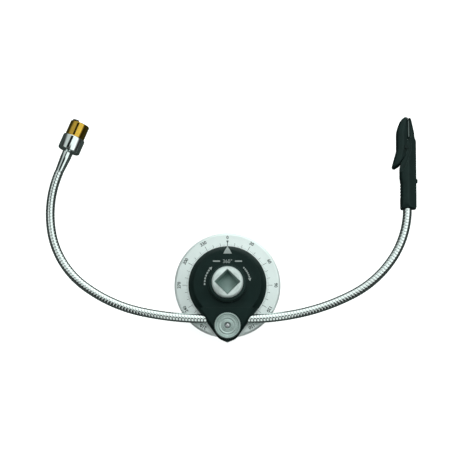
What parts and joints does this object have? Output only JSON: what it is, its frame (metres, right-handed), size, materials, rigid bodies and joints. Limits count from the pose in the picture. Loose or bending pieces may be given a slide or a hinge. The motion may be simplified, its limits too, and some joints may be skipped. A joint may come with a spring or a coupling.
{
  "type": "torque angle gauge",
  "caption": "Torque angle gauge: a dial on a square-drive shaft, with a pointer housing held still by a gooseneck arm that ends in a magnet and a spring clip.",
  "frame": {"origin": "on the drive axis, at the shoulder where the output square leaves the shaft", "axes": "+Z along the drive axis towards the wrench's side, which the dial faces; +Y from the drive axis to the pointer's tip, away from the gooseneck clamp; +X to the clip's side"},
  "size_m": [0.2813, 0.172, 0.041],
  "materials": {
    "turned_steel": "turned, nickel plated",
    "black_spring_steel": "black oxide",
    "washer_steel": "ground steel",
    "bronze": "plain bearing bronze",
    "dial_aluminium": "matt anodised",
    "spring_wire": "drawn wire",
    "black_anodised": "black anodised, satin",
    "black_plastic": "satin bearing plastic",
    "clamp_steel": "satin",
    "stud_steel": "zinc plated",
    "nut_steel": "turned and knurled",
    "chrome": "polished",
    "gooseneck": "chrome-plated wound wire",
    "brass": "drawn, bright",
    "magnet_nickel": "nickel plated",
    "pole_steel": "dark ground steel",
    "clip_plastic": "fine matt",
    "strip_steel": "stamped"
  },
  "bodies": {
    "holder": {"housing": "black_anodised", "shaft_bush": "black_plastic", "thrust_washer": "bronze"},
    "shaft": {"drive_shaft": "turned_steel", "retaining_ring": "black_spring_steel", "support_washer": "washer_steel", "disc_spring": "black_spring_steel", "friction_washer": "bronze", "detent_spring": "spring_wire"},
    "dial": {"dial": "dial_aluminium"},
    "detent": {"detent_ball": "washer_steel"},
    "clamp_jaw": {"clamp_plate": "clamp_steel", "clamp_stud": "stud_steel"},
    "nut_washer": {"clamp_washer": "washer_steel"},
    "nut": {"thumb_nut": "nut_steel"},
    "arm": {"arm_middle": "gooseneck", "left_arm_1": "gooseneck", "right_arm_1": "gooseneck", "left_flex_1": "gooseneck", "right_flex_1": "gooseneck"},
    "left_2": {"left_arm_2": "gooseneck", "left_flex_2": "gooseneck"},
    "left_3": {"left_arm_3": "gooseneck", "left_flex_3": "gooseneck"},
    "left_4": {"left_arm_4": "gooseneck", "magnet_ferrule": "chrome", "magnet_cup": "chrome", "cup_screw": "washer_steel", "brass_sleeve": "brass", "magnet": "magnet_nickel", "left_pole": "pole_steel", "right_pole": "pole_steel"},
    "right_2": {"right_arm_2": "gooseneck", "right_flex_2": "gooseneck"},
    "right_3": {"right_arm_3": "gooseneck", "right_flex_3": "gooseneck"},
    "right_4": {"right_arm_4": "gooseneck", "clip_plug": "washer_steel", "clip_screw": "black_spring_steel", "clip_body": "clip_plastic", "fixed_jaw_strip": "strip_steel", "clip_spring": "spring_wire"},
    "jaw": {"clip_jaw": "clip_plastic", "clip_pin": "black_spring_steel", "moving_jaw_strip": "strip_steel"}
  },
  "joints": [
    {"name": "shaft_spin", "type": "hinge", "parent": "holder", "child": "shaft", "pos_m": [0, 0, 0], "axis": [0, 0, 1], "continuous": true},
    {"name": "dial_turn", "type": "hinge", "parent": "shaft", "child": "dial", "pos_m": [0, 0, 0], "axis": [0, 0, 1], "continuous": true},
    {"name": "detent_push", "type": "slide", "parent": "shaft", "child": "detent", "axis": [-0.7071, -0.7071, 0], "range_m": [0, 0.0008], "stiffness_N_per_m": 4000, "springref_m": -0.00125, "deforming": ["detent_spring"]},
    {"name": "clamp_drop", "type": "slide", "parent": "holder", "child": "clamp_jaw", "axis": [0, 0, -1], "range_m": [0, 0.0005]},
    {"name": "nut_lift", "type": "slide", "parent": "holder", "child": "nut_washer", "axis": [0, 0, 1], "range_m": [0, 0.0016]},
    {"name": "nut_turn", "type": "hinge", "parent": "nut_washer", "child": "nut", "pos_m": [0, -0.0328, 0.0178], "axis": [0, 0, 1], "range_deg": [0, 1080]},
    {"name": "arm_roll", "type": "hinge", "parent": "holder", "child": "arm", "pos_m": [0, -0.0263, 0.0122], "axis": [1, 0, 0], "range_deg": [-90, 90]},
    {"name": "left_bend_1", "type": "hinge", "parent": "arm", "child": "left_2", "pos_m": [-0.066, -0.02082, 0.0122], "axis": [0, 0, 1], "range_deg": [-25, 25], "deforming": ["left_flex_1"]},
    {"name": "left_bend_2", "type": "hinge", "parent": "left_2", "child": "left_3", "pos_m": [-0.10932, -0.00011, 0.0122], "axis": [0.626, 0.7798, 0], "range_deg": [-25, 25], "deforming": ["left_flex_2"]},
    {"name": "left_bend_3", "type": "hinge", "parent": "left_3", "child": "left_4", "pos_m": [-0.13297, 0.04085, 0.0122], "axis": [0, 0, 1], "range_deg": [-25, 25], "deforming": ["left_flex_3"]},
    {"name": "right_bend_1", "type": "hinge", "parent": "arm", "child": "right_2", "pos_m": [0.0584, -0.02123, 0.0122], "axis": [0, 0, -1], "range_deg": [-25, 25], "deforming": ["right_flex_1"]},
    {"name": "right_bend_2", "type": "hinge", "parent": "right_2", "child": "right_3", "pos_m": [0.09636, -0.00659, 0.0122], "axis": [0.4867, -0.8736, 0], "range_deg": [-25, 25], "deforming": ["right_flex_2"]},
    {"name": "right_bend_3", "type": "hinge", "parent": "right_3", "child": "right_4", "pos_m": [0.12558, 0.02126, 0.0122], "axis": [0, 0, -1], "range_deg": [-25, 25], "deforming": ["right_flex_3"]},
    {"name": "clip_jaw_open", "type": "hinge", "parent": "right_4", "child": "jaw", "pos_m": [0.13553, 0.10461, 0.0122], "axis": [0, 0, 1], "range_deg": [0, 11], "stiffness_Nm_per_rad": 0.3, "springref_deg": -20.05, "deforming": ["clip_spring"]}
  ],
  "couplings": [
    {"joint": "nut_lift", "follows": "nut_turn", "m_per_rad": 0.000084882},
    {"joint": "clamp_drop", "follows": "nut_turn", "m_per_rad": 0.000026526}
  ]
}
